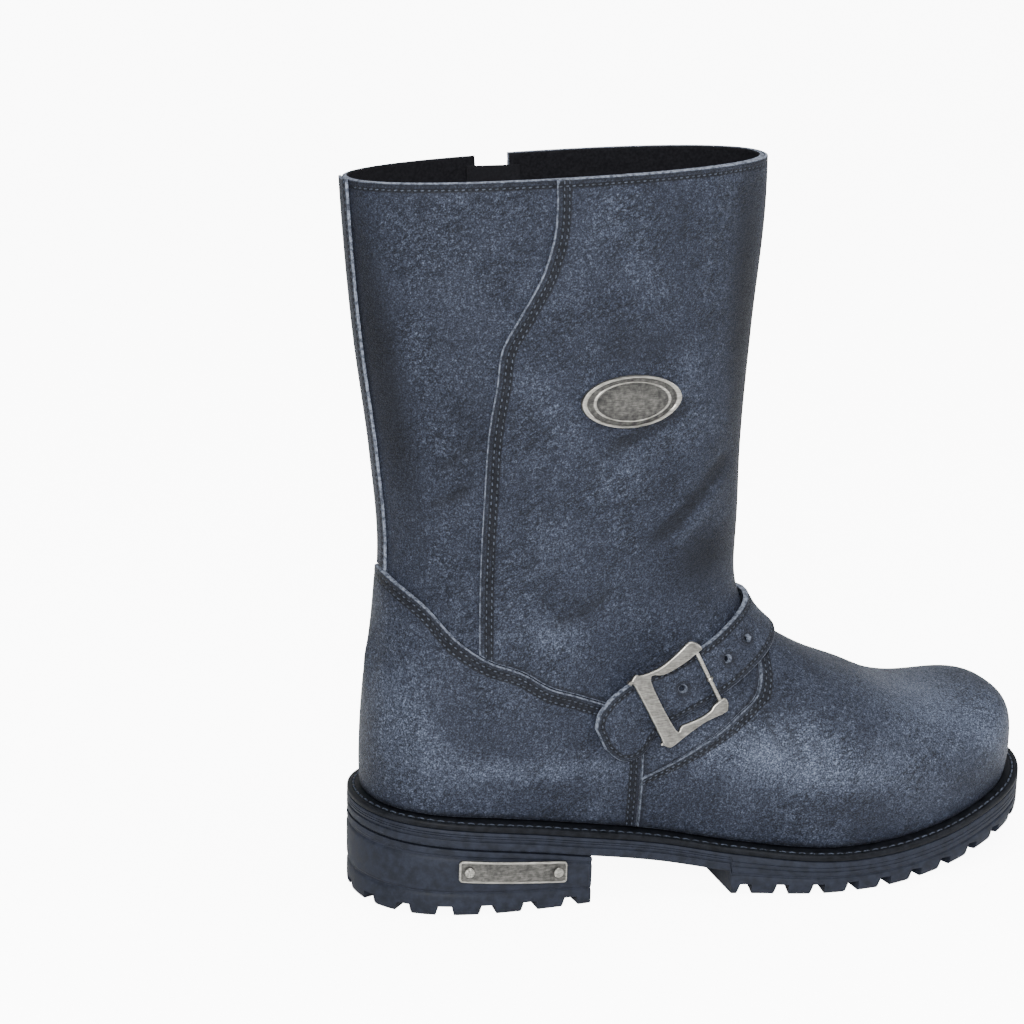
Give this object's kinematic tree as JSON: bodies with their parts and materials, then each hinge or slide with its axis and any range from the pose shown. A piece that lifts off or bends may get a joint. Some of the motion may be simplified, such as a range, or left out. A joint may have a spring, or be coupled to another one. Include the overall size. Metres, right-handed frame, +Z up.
{
  "type": "engineer boot",
  "caption": "Right-foot engineer boot: hollow leather upper with vamp, counter and side zip, an instep strap with a buckle, and a stitched welt on a lugged rubber sole.",
  "frame": {"origin": "on the floor, on the flat tread under the middle of the heel block", "axes": "+X from heel to toe, +Y to the inner (medial) side with the zip, -Y to the outer side with the buckle, +Z up"},
  "size_m": [0.3181, 0.1155, 0.3115],
  "materials": {
    "upper_leather": "rubbed waxy slate blue-grey leather, dark in seams and folds",
    "strap_leather": "the same leather, folded and stitched edges",
    "welt": "near-black welt with a stitch groove",
    "sole_rubber": "dull dark navy-grey moulded rubber",
    "insole": "dark insole board",
    "pewter": "antique pewter plating, dark in the hollows",
    "zip_metal": "nickel",
    "zip_tape": "woven black tape"
  },
  "bodies": {
    "boot": {"upper": "upper_leather", "vamp": "upper_leather", "counter": "upper_leather", "shaft_front_panel": "upper_leather", "back_stay": "upper_leather", "instep_strap": "strap_leather", "buckle_strap": "strap_leather", "buckle": "pewter", "buckle_ring": "pewter", "shaft_badge": "pewter", "heel_plate": "pewter", "heel_screw_front": "pewter", "heel_screw_rear": "pewter", "welt": "welt", "outsole": "sole_rubber", "heel": "sole_rubber", "insole": "insole", "zip_tape": "zip_tape", "zip_chain": "zip_metal", "zip_slider": "zip_metal"},
    "zip_pull": {"zip_pull": "zip_metal"}
  },
  "joints": [
    {"name": "zip_pull_hinge", "type": "hinge", "parent": "boot", "child": "zip_pull", "pos_m": [0.01972, 0.03972, 0.29282], "axis": [0.9733, 0.055, 0.2227], "range_deg": [-5, 165]}
  ]
}
